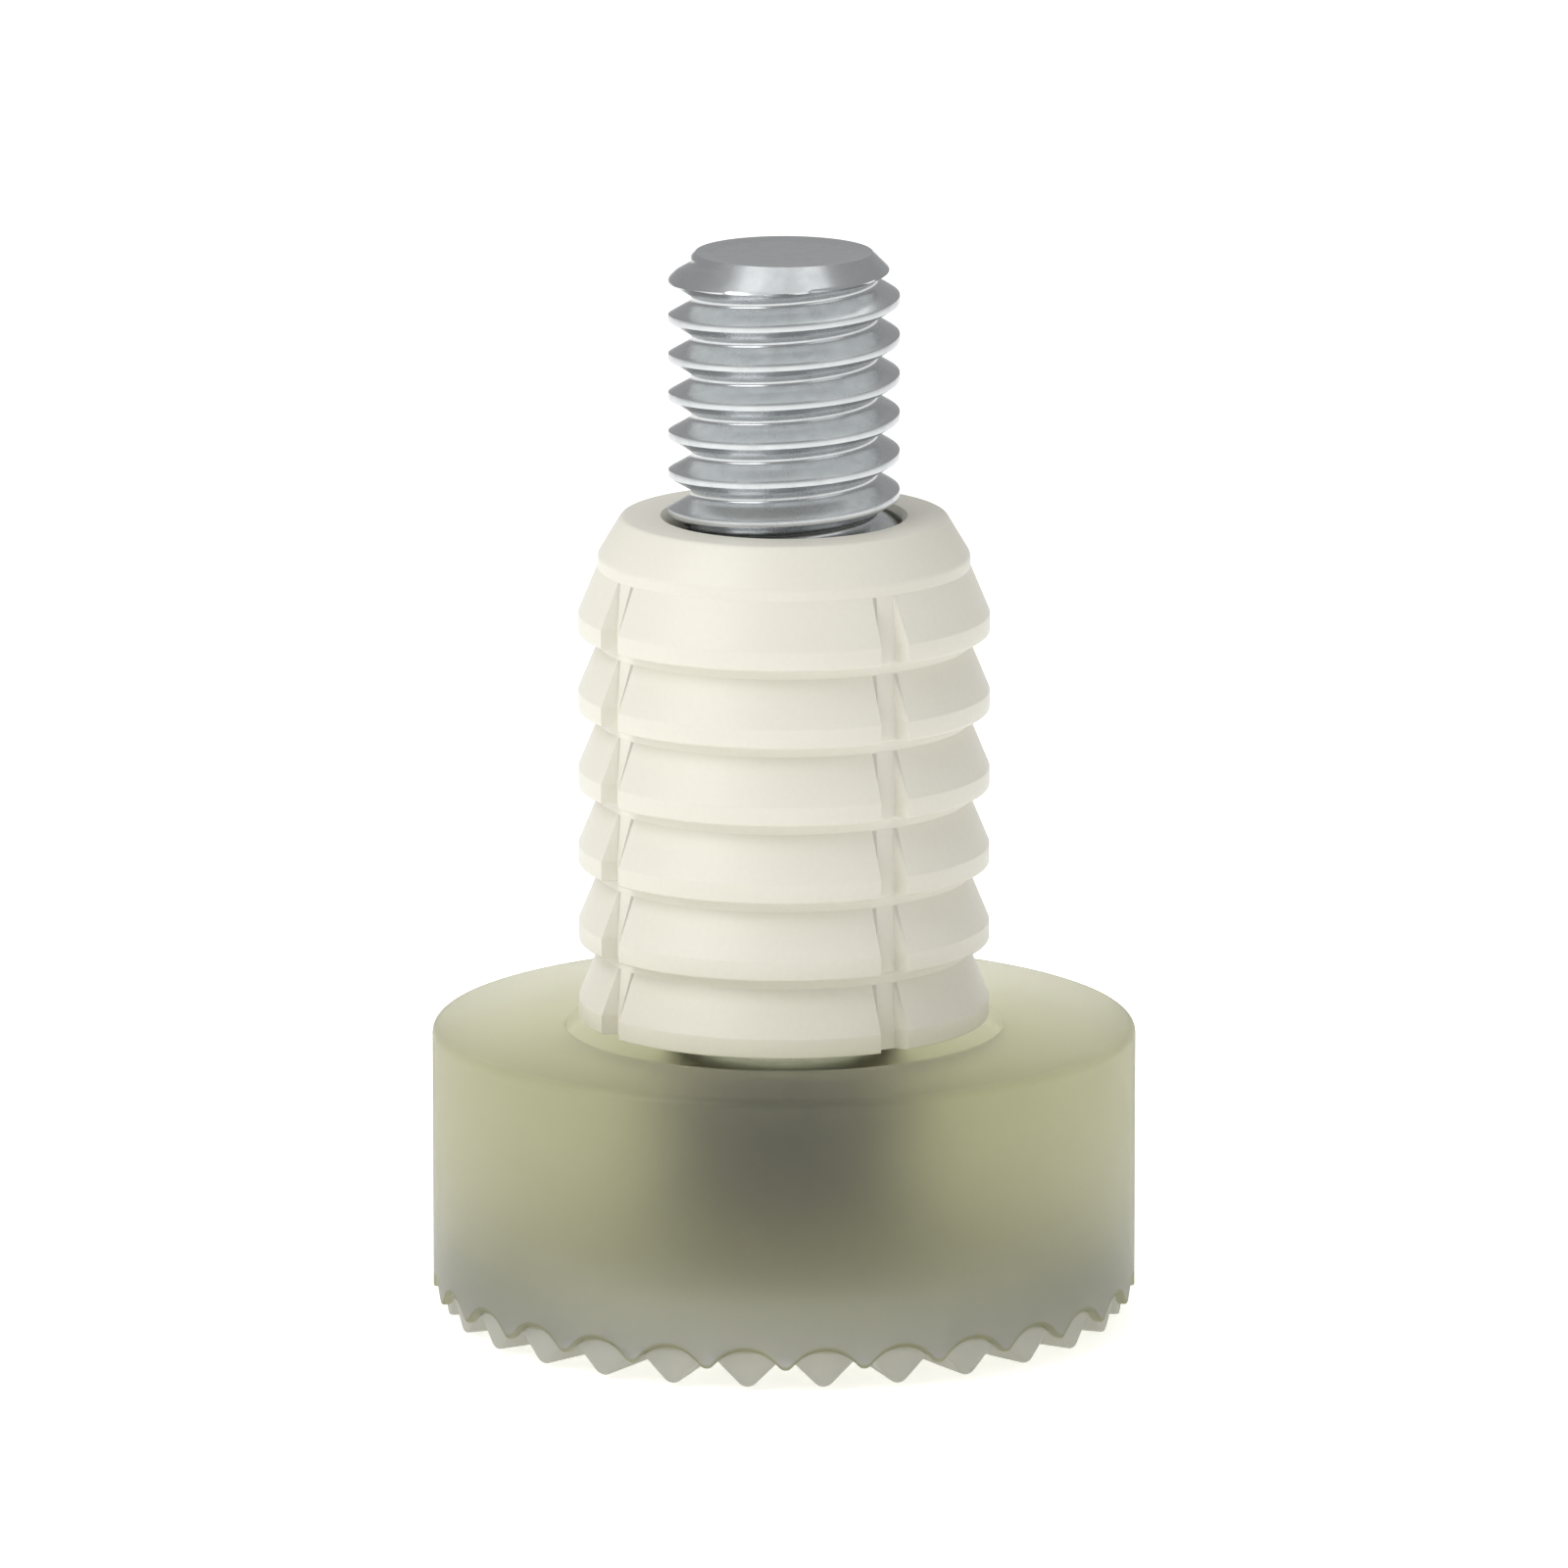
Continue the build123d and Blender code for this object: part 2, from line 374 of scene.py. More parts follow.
def ring_tree():
    """Copies a sector round Z and welds the copies into one closed ring."""
    tree = new_tree(
        "Ring of Sectors",
        [
            ("Count", "NodeSocketInt", 28),
            ("Weld Distance", "NodeSocketFloat", WELD),
            ("Material", "NodeSocketMaterial", None),
        ],
    )
    source = add_node(tree, "NodeGroupInput").outputs
    index = add_node(tree, "GeometryNodeInputIndex").outputs[0]
    share = add_node(
        tree, "ShaderNodeMath", {"operation": "DIVIDE"}, {0: index, 1: source["Count"]}
    ).outputs[0]
    turn = add_node(tree, "ShaderNodeMath", {"operation": "MULTIPLY"}, {0: share, 1: math.tau}).outputs[0]
    spin = add_node(tree, "ShaderNodeCombineXYZ", inputs={"Z": turn}).outputs[0]
    points = add_node(tree, "GeometryNodePoints", inputs={"Count": source["Count"]}).outputs[0]
    copies = add_node(
        tree,
        "GeometryNodeInstanceOnPoints",
        inputs={"Points": points, "Instance": source["Geometry"], "Rotation": spin},
    ).outputs[0]
    real = add_node(tree, "GeometryNodeRealizeInstances", inputs={"Geometry": copies}).outputs[0]
    welded = add_node(
        tree, "GeometryNodeMergeByDistance", inputs={"Geometry": real, "Distance": source["Weld Distance"]}
    ).outputs[0]
    finished = add_node(
        tree, "GeometryNodeSetMaterial", inputs={"Geometry": welded, "Material": source["Material"]}
    ).outputs[0]
    add_node(tree, "NodeGroupOutput", inputs={"Geometry": finished})
    return tree


def thread_tree(inside):
    """A right-hand thread between two heights, welded to the geometry that comes in.

    Its rows follow the helix.
    """
    tree = new_tree(
        "Inside Thread" if inside else "Outside Thread",
        [
            ("Origin Height", "NodeSocketFloat", 0.0),
            ("Start Height", "NodeSocketFloat", 0.0),
            ("End Height", "NodeSocketFloat", 0.02),
            ("Pitch", "NodeSocketFloat", 0.001),
            ("Apex Radius", "NodeSocketFloat", 0.0035),
            ("Low Radius", "NodeSocketFloat", 0.0024),
            ("High Radius", "NodeSocketFloat", 0.003),
            ("Rounding", "NodeSocketFloat", 0.0001),
            ("Start Radius", "NodeSocketFloat", 0.0024),
            ("End Radius", "NodeSocketFloat", 0.0024),
            ("Columns", "NodeSocketInt", 96),
            ("Rows per Turn", "NodeSocketInt", 14),
            ("Weld Distance", "NodeSocketFloat", WELD),
            ("Material", "NodeSocketMaterial", None),
        ],
    )
    source = add_node(tree, "NodeGroupInput").outputs
    slope = -1.0 if inside else 1.0

    # whole turns that cover the thread, with one more because the rows climb
    span = add_node(
        tree,
        "ShaderNodeMath",
        {"operation": "SUBTRACT"},
        {0: source["End Height"], 1: source["Origin Height"]},
    ).outputs[0]
    exact = add_node(
        tree, "ShaderNodeMath", {"operation": "DIVIDE"}, {0: span, 1: source["Pitch"]}
    ).outputs[0]
    whole = add_node(tree, "ShaderNodeMath", {"operation": "CEIL"}, {0: exact}).outputs[0]
    rows = add_node(
        tree,
        "ShaderNodeMath",
        {"operation": "MULTIPLY_ADD"},
        {0: whole, 1: source["Rows per Turn"], 2: 1.0},
    ).outputs[0]
    columns = add_node(
        tree, "ShaderNodeMath", {"operation": "ADD"}, {0: source["Columns"], 1: 1.0}
    ).outputs[0]
    grid = add_node(
        tree,
        "GeometryNodeMeshGrid",
        inputs={"Size X": 1.0, "Size Y": 1.0, "Vertices X": columns, "Vertices Y": rows},
    ).outputs
    place = add_node(tree, "ShaderNodeSeparateXYZ", inputs={0: grid["UV Map"]}).outputs

    # height along the axis, before and after it is held between the two ends
    climb = add_node(tree, "ShaderNodeMath", {"operation": "MULTIPLY"}, {0: place["Y"], 1: whole}).outputs[0]
    turns = add_node(tree, "ShaderNodeMath", {"operation": "ADD"}, {0: climb, 1: place["X"]}).outputs[0]
    raw = add_node(
        tree,
        "ShaderNodeMath",
        {"operation": "MULTIPLY_ADD"},
        {0: turns, 1: source["Pitch"], 2: source["Origin Height"]},
    ).outputs[0]
    height = add_node(
        tree,
        "ShaderNodeClamp",
        inputs={"Value": raw, "Min": source["Start Height"], "Max": source["End Height"]},
    ).outputs[0]

    # distance from the nearest ridge, and the radius that the 60 degree flanks give there
    away = add_node(tree, "ShaderNodeMath", {"operation": "PINGPONG"}, {0: climb, 1: 0.5}).outputs[0]
    offset = add_node(
        tree, "ShaderNodeMath", {"operation": "MULTIPLY"}, {0: away, 1: source["Pitch"]}
    ).outputs[0]
    flank = add_node(
        tree,
        "ShaderNodeMath",
        {"operation": "MULTIPLY_ADD"},
        {0: offset, 1: -1 / math.tan(FLANK), 2: source["Apex Radius"]},
    ).outputs[0]
    capped = add_node(
        tree,
        "ShaderNodeMath",
        {"operation": "SMOOTH_MIN"},
        {0: flank, 1: source["High Radius"], 2: source["Rounding"]},
    ).outputs[0]
    profile = add_node(
        tree,
        "ShaderNodeMath",
        {"operation": "SMOOTH_MAX"},
        {0: capped, 1: source["Low Radius"], 2: source["Rounding"]},
    ).outputs[0]

    # both ends narrow or open at 45 degrees
    above = add_node(
        tree, "ShaderNodeMath", {"operation": "SUBTRACT"}, {0: height, 1: source["Start Height"]}
    ).outputs[0]
    below = add_node(
        tree, "ShaderNodeMath", {"operation": "SUBTRACT"}, {0: source["End Height"], 1: height}
    ).outputs[0]
    from_start = add_node(
        tree, "ShaderNodeMath", {"operation": "MULTIPLY_ADD"}, {0: above, 1: slope, 2: source["Start Radius"]}
    ).outputs[0]
    from_end = add_node(
        tree, "ShaderNodeMath", {"operation": "MULTIPLY_ADD"}, {0: below, 1: slope, 2: source["End Radius"]}
    ).outputs[0]
    cropped = add_node(
        tree,
        "ShaderNodeMath",
        {"operation": "SMOOTH_MAX" if inside else "SMOOTH_MIN"},
        {0: profile, 1: from_end, 2: source["Rounding"]},
    ).outputs[0]
    radius = add_node(
        tree, "ShaderNodeMath", {"operation": "MAXIMUM" if inside else "MINIMUM"}, {0: cropped, 1: from_start}
    ).outputs[0]

    angle = add_node(
        tree, "ShaderNodeMath", {"operation": "MULTIPLY"}, {0: place["X"], 1: math.tau}
    ).outputs[0]
    cosine = add_node(tree, "ShaderNodeMath", {"operation": "COSINE"}, {0: angle}).outputs[0]
    sine = add_node(tree, "ShaderNodeMath", {"operation": "SINE"}, {0: angle}).outputs[0]
    x = add_node(tree, "ShaderNodeMath", {"operation": "MULTIPLY"}, {0: radius, 1: cosine}).outputs[0]
    y = add_node(tree, "ShaderNodeMath", {"operation": "MULTIPLY"}, {0: radius, 1: sine}).outputs[0]
    position = add_node(tree, "ShaderNodeCombineXYZ", inputs={"X": x, "Y": y, "Z": height}).outputs[0]
    surface = add_node(
        tree, "GeometryNodeSetPosition", inputs={"Geometry": grid["Mesh"], "Position": position}
    ).outputs[0]
    if inside:
        surface = add_node(tree, "GeometryNodeFlipFaces", inputs={"Mesh": surface}).outputs[0]

    joined = add_node(tree, "GeometryNodeJoinGeometry")
    tree.links.new(surface, joined.inputs[0])
    tree.links.new(source["Geometry"], joined.inputs[0])
    real = add_node(tree, "GeometryNodeRealizeInstances", inputs={"Geometry": joined.outputs[0]}).outputs[0]
    welded = add_node(
        tree, "GeometryNodeMergeByDistance", inputs={"Geometry": real, "Distance": source["Weld Distance"]}
    ).outputs[0]
    finished = add_node(
        tree, "GeometryNodeSetMaterial", inputs={"Geometry": welded, "Material": source["Material"]}
    ).outputs[0]
    add_node(tree, "NodeGroupOutput", inputs={"Geometry": finished})
    return tree


def thread_values(stem, gap):
    """Thread inputs that stem and sleeve share.

    They are where the 60 degree flanks would meet, with this gap along the axis on each side, and the
    height of a ridge at +X. The pitch line is 3/8 of the sharp profile's height under the nominal radius.
    """
    sharp_height = stem.pitch * math.cos(FLANK)
    pitch_radius = stem.nominal - 3 / 8 * sharp_height
    return {
        "Pitch": stem.pitch,
        "Apex Radius": pitch_radius + (stem.pitch / 4 + gap) / math.tan(FLANK),
        "Origin Height": SLEEVE_LOW.z - SPARE_TURNS * stem.pitch,
    }


# ---------------------------------------------------------------------------------------------
# Materials
# ---------------------------------------------------------------------------------------------


def new_material(name):
    """A new material, its tree and its shader."""
    material = bpy.data.materials.new(name)
    material.use_nodes = True
    tree = material.node_tree
    tree.nodes.clear()
    shader = add_node(tree, "ShaderNodeBsdfPrincipled")
    add_node(tree, "ShaderNodeOutputMaterial", {"name": OUTPUT}, {"Surface": shader.outputs[0]})
    return material, tree, shader


def shade(colour, share):
    """A darker shade of a linear colour."""
    return tuple(c * share for c in colour[:3]) + (1.0,)


def natural_polyamide(colour):
    """Unfilled nylon 6, injection moulded: milky, so that steel inside it shows as a soft dark shape."""
    material, tree, shader = new_material("natural polyamide")
    place = add_node(tree, "ShaderNodeTexCoord").outputs["Object"]
    # spark-eroded mould finish, grains of about 0.12 mm
    grain = add_node(
        tree, "ShaderNodeTexNoise", inputs={"Vector": place, "Scale": 1 / (0.12 * MM), "Detail": 2.0}
    ).outputs[0]
    # slow flow marks from the gate, about 4 mm across
    flow = add_node(
        tree, "ShaderNodeTexNoise", inputs={"Vector": place, "Scale": 1 / (4 * MM), "Detail": 1.0}
    ).outputs[0]
    base = linear(colour)
    body = add_node(
        tree, "ShaderNodeMix", {"data_type": "RGBA"}, {"Factor": flow, 6: base, 7: shade(base, 0.93)}
    ).outputs[2]
    # painted light: towards the rim the plastic's colour is painted a cool grey, for the neutral light that
    # the thin lower wall lets through and reflects
    height = add_node(tree, "ShaderNodeSeparateXYZ", inputs={0: place}).outputs["Z"]
    low = add_node(
        tree,
        "ShaderNodeMapRange",
        {"interpolation_type": "SMOOTHSTEP"},
        {"Value": height, "From Min": 0.6 * MM, "From Max": 4.0 * MM, "To Min": 1.0, "To Max": 0.0},
    ).outputs[0]
    body = add_node(
        tree, "ShaderNodeMix", {"data_type": "RGBA"}, {"Factor": low, 6: body, 7: linear("#DCDDE6")}
    ).outputs[2]
    # painted shade: the wall's lower edge is painted as a fine darker line, standing for the shade along that
    # edge
    edge = add_node(tree, "ShaderNodeAttribute", {"attribute_name": EDGE_SHADE}).outputs["Fac"]
    tint = add_node(
        tree, "ShaderNodeMix", {"data_type": "RGBA"}, {"Factor": edge, 6: body, 7: linear("#BAB99E")}
    ).outputs[2]
    # painted light: the teeth are painted greyer, for the less tinted light that passes through thin plastic,
    # and let less light straight through
    thin = add_node(tree, "ShaderNodeAttribute", {"attribute_name": THIN_PAINTED_GREY}).outputs["Fac"]
    tint = add_node(
        tree, "ShaderNodeMix", {"data_type": "RGBA"}, {"Factor": thin, 6: tint, 7: linear("#C2C1BA")}
    ).outputs[2]
    # painted light: the pocket's walls are painted whiter, so that they don't darken the rim in front of them
    pocket = add_node(tree, "ShaderNodeAttribute", {"attribute_name": POCKET_LIGHT}).outputs["Fac"]
    tint = add_node(
        tree, "ShaderNodeMix", {"data_type": "RGBA"}, {"Factor": pocket, 6: tint, 7: linear("#F7F6F2")}
    ).outputs[2]
    cloudy = add_node(tree, "ShaderNodeMath", {"operation": "ADD"}, {0: thin, 1: pocket}).outputs[0]
    clear = add_node(
        tree, "ShaderNodeMapRange", inputs={"Value": cloudy, "To Min": 0.92, "To Max": 0.5}
    ).outputs[0]
    rough = add_node(
        tree, "ShaderNodeMapRange", inputs={"Value": grain, "To Min": 0.76, "To Max": 0.86}
    ).outputs[0]
    bump = add_node(
        tree, "ShaderNodeBump", inputs={"Strength": 0.12, "Distance": 0.01 * MM, "Height": grain}
    ).outputs[0]
    for name, value in {
        "Base Color": tint,
        "Roughness": rough,
        "Transmission Weight": clear,
        "Normal": bump,
    }.items():
        tree.links.new(value, shader.inputs[name])
    # nylon's own IOR is 1.53, which the coat has; the body's is lower, so that the steel inside it
    # isn't bent out of shape
    shader.inputs["IOR"].default_value = 1.27
    shader.inputs["Coat Weight"].default_value = 0.3
    shader.inputs["Coat Roughness"].default_value = 0.35
    shader.inputs["Coat IOR"].default_value = 1.53
    absorb = add_node(
        tree,
        "ShaderNodeVolumeAbsorption",
        inputs={"Color": linear("#BEBE6E"), "Density": 90.0},
    ).outputs[0]
    tree.links.new(absorb, tree.nodes[OUTPUT].inputs["Volume"])
    return material


def zinc_plated_steel(colour):
    """Cold-headed steel with bright zinc over it: a cool grey metal with faint cloudy patches."""
    material, tree, shader = new_material("zinc plated steel")
    place = add_node(tree, "ShaderNodeTexCoord").outputs["Object"]
    # zinc grain, drawn at 0.4 mm
    cloud = add_node(
        tree, "ShaderNodeTexNoise", inputs={"Vector": place, "Scale": 1 / (0.4 * MM), "Detail": 4.0}
    ).outputs[0]
    rough = add_node(
        tree, "ShaderNodeMapRange", inputs={"Value": cloud, "To Min": 0.16, "To Max": 0.34}
    ).outputs[0]
    base = linear(colour)
    tint = add_node(
        tree, "ShaderNodeMix", {"data_type": "RGBA"}, {"Factor": cloud, 6: base, 7: shade(base, 0.8)}
    ).outputs[2]
    bump = add_node(
        tree, "ShaderNodeBump", inputs={"Strength": 0.1, "Distance": 0.01 * MM, "Height": cloud}
    ).outputs[0]
    for name, value in {"Base Color": tint, "Roughness": rough, "Normal": bump}.items():
        tree.links.new(value, shader.inputs[name])
    shader.inputs["Metallic"].default_value = 1.0
    return material


def knurled_steel():
    """The stem's knurled end: rough steel that the plastic clings to, painted dark olive as painted shade, so
    that it gives back little light.
    """
    material, tree, shader = new_material("knurled steel in plastic")
    place = add_node(tree, "ShaderNodeTexCoord").outputs["Object"]
    # painted shade: the steel is painted dark olive, mottled at 0.8 mm
    shade_mottle = add_node(
        tree, "ShaderNodeTexNoise", inputs={"Vector": place, "Scale": 1 / (0.8 * MM), "Detail": 3.0}
    ).outputs[0]
    tint = add_node(
        tree,
        "ShaderNodeMix",
        {"data_type": "RGBA"},
        {"Factor": shade_mottle, 6: linear("#736E56"), 7: linear("#555142")},
    ).outputs[2]
    # painted light: the lowest 2.2 mm is painted brighter, so that the dark shape fades out downwards
    height = add_node(tree, "ShaderNodeSeparateXYZ", inputs={0: place}).outputs["Z"]
    bright = add_node(
        tree,
        "ShaderNodeMapRange",
        {"interpolation_type": "SMOOTHSTEP"},
        {
            "Value": height,
            "From Min": STEM_LOW.z,
            "From Max": STEM_LOW.z + 2.2 * MM,
            "To Min": 1.0,
            "To Max": 0.0,
        },
    ).outputs[0]
    tint = add_node(
        tree, "ShaderNodeMix", {"data_type": "RGBA"}, {"Factor": bright, 6: tint, 7: linear("#C4C2AE")}
    ).outputs[2]
    tree.links.new(tint, shader.inputs["Base Color"])
    shader.inputs["Roughness"].default_value = 0.7
    shader.inputs["Metallic"].default_value = 1.0
    return material


def white_plastic(name, colour, roughness):
    """Opaque moulded plastic with a fine mould finish."""
    material, tree, shader = new_material(name)
    place = add_node(tree, "ShaderNodeTexCoord").outputs["Object"]
    # mould finish, grains of about 0.15 mm
    grain = add_node(
        tree, "ShaderNodeTexNoise", inputs={"Vector": place, "Scale": 1 / (0.15 * MM), "Detail": 2.0}
    ).outputs[0]
    base = linear(colour)
    tint = add_node(
        tree, "ShaderNodeMix", {"data_type": "RGBA"}, {"Factor": grain, 6: base, 7: shade(base, 0.95)}
    ).outputs[2]
    rough = add_node(
        tree,
        "ShaderNodeMapRange",
        inputs={"Value": grain, "To Min": roughness - 0.06, "To Max": roughness + 0.06},
    ).outputs[0]
    bump = add_node(
        tree, "ShaderNodeBump", inputs={"Strength": 0.1, "Distance": 0.01 * MM, "Height": grain}
    ).outputs[0]
    for key, value in {"Base Color": tint, "Roughness": rough, "Normal": bump}.items():
        tree.links.new(value, shader.inputs[key])
    return material


# ---------------------------------------------------------------------------------------------
# Pieces
# ---------------------------------------------------------------------------------------------


class RimShape:
    """Heights of the serrated rim: arches in the wall outside, ridges inside them."""

    SIDE = math.radians(45)  # slope of the ridges' sides
    END_SHARE = 0.9  # how much of a ridge end's rounding is used, so that it never stands upright
    BLEND = 0.12 * MM  # rounding where two surfaces of the rim cross
    CUSP_TOP = 0.12 * MM  # a cusp's rounding climbs this far
    LEDGE = 0.08 * MM  # from the ridges' ends out to the wall's own edge
    LEDGE_EASE = 0.14 * MM  # over which the wall's edge turns into the ridges

    def __init__(self, s):
        self.radius = BODY_HIGH.x
        self.tip = BODY_LOW.z
        self.cusp = self.tip + s.cusp_lift
        self.floor = self.tip + s.tooth_depth
        self.end_radius = self.radius - s.set_in
        self.end_rounding = s.tooth_end
        self.tip_radius = s.tooth_tip
        self.half_pitch = math.pi * self.radius / s.tooth_count
        half_arch = self.half_pitch - s.cusp_width / 2
        self.arch_radius = (half_arch**2 + s.arch_rise**2) / (2 * s.arch_rise)
        self.arch_centre = self.cusp + s.arch_rise - self.arch_radius
        self.cusp_rounding = s.cusp_rounding

    def wall_edge(self, angle):
        """Height of the wall's lower edge."""
        across = self.radius * math.sin(angle)
        arch = self.arch_centre + math.sqrt(max(self.arch_radius**2 - across**2, 0.0))
        from_cusp = self.half_pitch - abs(across)
        cusp = self.cusp + min(from_cusp**2 / (2 * self.cusp_rounding), self.CUSP_TOP)
        return smooth_max(arch, cusp, self.BLEND)

    def ridge(self, angle, radius):
        """Height of the ridges' underside."""
        across = abs(radius * math.sin(angle))
        side = self.tip_radius * math.sin(self.SIDE)
        if across < side:
            height = self.tip + self.tip_radius - math.sqrt(self.tip_radius**2 - across**2)
        else:
            rise = self.tip_radius * (1 - math.cos(self.SIDE))
            height = self.tip + rise + (across - side) * math.tan(self.SIDE)
        past = max(radius - (self.end_radius - self.end_rounding), 0.0)
        past = min(past, self.end_rounding * self.END_SHARE)
        height += self.end_rounding - math.sqrt(self.end_rounding**2 - past**2)
        return smooth_min(height, self.floor, self.BLEND)

    def underside(self, angle, radius):
        """Height of the rim's underside: the wall's edge outside, easing into the ridges inside it."""
        ease = smooth_step((self.end_radius + self.LEDGE - radius) / self.LEDGE_EASE)
        return self.wall_edge(angle) * (1 - ease) + self.ridge(angle, radius) * ease


def body_section(rim, s, angle):
    """The toothed body's section, from the top's middle round to the pocket's.

    The angle is from the nearest tooth. Each point comes with its vertex attribute's name, or None.
    """
    top = BODY_HIGH.z
    dish = top - s.relief_depth
    ceiling = DISC_HIGH.z
    plain_wall = 1.2 * MM  # how far over the teeth the wall's rows stay level
    bevel = 0.07 * MM  # rounding of the wall's lower edge
    over_bevel = 0.06 * MM
    corner = 0.05 * MM  # small roundings of the lip
    wall_rows = 5
    bevel_rows = 4
    edge_rows = 3  # under the wall, that belong to its edge and its painted shade line
    end_rows = 14  # over the teeth's rounded ends
    ridge_rows = 12  # along the ridges
    above = rounded(
        [
            (0, dish, 0),
            (s.relief_radius, dish, 3 * corner),
            (s.relief_radius, top, 0.08 * MM),
            (rim.radius, top, s.edge),
            (rim.radius, rim.floor + plain_wall, 0),
        ],
        6,
    )
    edge = rim.wall_edge(angle)
    wall_foot = above[-1][1]
    wall_drop = edge + bevel + over_bevel - wall_foot
    wall = [(rim.radius, wall_foot + wall_drop * k / wall_rows) for k in range(1, wall_rows + 1)]
    turns = [math.pi / 2 * k / bevel_rows for k in range(bevel_rows + 1)]
    turn = [(rim.radius - bevel + bevel * math.cos(t), edge + bevel - bevel * math.sin(t)) for t in turns]
    ledge_end = rim.end_radius + 0.1 * MM
    steps = [ledge_end - 0.02 * MM * k for k in range(end_rows)]
    lip = s.lip_radius
    reach = steps[-1] - lip
    steps += [steps[-1] - reach * k / ridge_rows for k in range(1, ridge_rows)]
    under = [(r, rim.underside(angle, r)) for r in steps]
    inner = rounded(
        [
            (under[-1][0], under[-1][1], 0),
            (lip, rim.underside(angle, lip), 0.06 * MM),
            (lip, s.lip_top, corner),
            (s.pocket_radius, s.lip_top, corner),
            (s.pocket_radius, ceiling, 2 * corner),
            (0, ceiling, 0),
        ],
        3,
    )
    parts = (
        (above + wall, None),
        (turn + under[:edge_rows], EDGE_SHADE),
        (under[edge_rows:], THIN_PAINTED_GREY),
        (inner[1:], POCKET_LIGHT),
    )
    path = [point for part, label in parts for point in part]
    labels = [label for part, label in parts for point in part]
    return path, labels


class FOOT_OT_toothed_body(bpy.types.Operator):
    """Build the toothed plastic body."""

    bl_idname = "levelling_foot.toothed_body"
    bl_label = "Toothed Body"

    def execute(self, context):
        s = context.scene.levelling_foot.body
        rim = RimShape(s)
        half = math.pi / s.tooth_count
        columns = 36  # to a tooth
        angles = [half * (2 * k / columns - 1) for k in range(columns + 1)]
        vertices, faces = turned_grid(lambda a: body_section(rim, s, a)[0], angles)
        labels = body_section(rim, s, 0.0)[1] * len(angles)
        attributes = {name: [float(label == name) for label in labels] for name in (EDGE_SHADE, THIN_PAINTED_GREY, POCKET_LIGHT)}
        piece = new_piece("toothed_body_moulding", vertices, faces, attributes)
        apply_tree(piece, ring_tree(), {"Count": s.tooth_count, "Material": natural_polyamide(s.colour)})
        finish_piece(piece, "toothed_body", "foot")
        return {"FINISHED"}


class FOOT_OT_stem(bpy.types.Operator):
    """Build the threaded steel stem."""

    bl_idname = "levelling_foot.stem"
    bl_label = "Threaded Stem"

    def execute(self, context):
        s = context.scene.levelling_foot.stem
        body = context.scene.levelling_foot.body
        start = BODY_HIGH.z + s.thread_start
        knurl_top = BODY_HIGH.z - body.relief_depth - s.knurl_cover
        middle = (STEM_LOW.z + knurl_top) / 2
        groove_top = middle + s.groove_width / 2
        groove_foot = middle - s.groove_width / 2
        groove_radius = s.crest - s.groove_depth
        fine = 0.05 * MM  # roundings
        corner = 0.1 * MM
        anchor = rounded(
            [
                (s.root, start, 0),
                (s.root, knurl_top, fine),
                (s.crest, knurl_top, corner),
                (s.crest, groove_top, corner),
                (groove_radius, groove_top, corner),
                (groove_radius, groove_foot, corner),
                (s.crest, groove_foot, corner),
                (s.crest, STEM_LOW.z + s.knurl_chamfer, fine),
                (s.crest - s.knurl_chamfer, STEM_LOW.z, fine),
                (0, STEM_LOW.z, 0),
            ],
            3,
        )

        def knurled(angle):
            """The anchor's section, cut by notches that take up two thirds of their spacing."""
            from_notch = abs((angle * s.knurl_count / math.tau) % 1 - 0.5) * 2
            cut = s.crest - s.knurl_depth * max(0.0, 1 - 1.5 * from_notch)
            return [(min(r, cut), z) for r, z in anchor]

        columns = 6 * s.knurl_count
        angles = [math.tau * k / columns for k in range(columns + 1)]
        vertices, faces = turned_grid(knurled, angles)
        # the cropped end is very slightly dished
        tip = s.crest - s.chamfer
        dish = 0.08 * MM
        cap = rounded(
            [
                (0, STEM_HIGH.z - dish, 0),
                (tip * 0.8, STEM_HIGH.z - dish * 0.75, 0.3 * MM),
                (tip, STEM_HIGH.z, 0),
            ],
            4,
        )
        cap_vertices, cap_faces = turned_grid(lambda a: cap, angles)
        faces += [tuple(i + len(vertices) for i in face) for face in cap_faces]
        piece = new_piece("threaded_stem_rod", vertices + cap_vertices, faces)
        values = thread_values(s, 0.0)
        values.update(
            {
                "Start Height": start,
                "End Height": STEM_HIGH.z,
                "Low Radius": s.root,
                "High Radius": s.crest,
                "Rounding": 0.06 * MM,
                "Start Radius": s.root,
                "End Radius": tip,
                "Columns": columns,
                "Rows per Turn": 22,
                "Material": zinc_plated_steel(s.colour),
            }
        )
        apply_tree(piece, thread_tree(inside=False), values)
        piece.data.materials.clear()
        piece.data.materials.append(values["Material"])
        piece.data.materials.append(knurled_steel())
        # steel that is well inside the plastic is the knurled one
        bonded = knurl_top + 0.75 * s.knurl_cover
        for face in piece.data.polygons:
            face.material_index = 1 if face.center.z < bonded else 0
        finish_piece(piece, "threaded_stem", "foot")
        return {"FINISHED"}


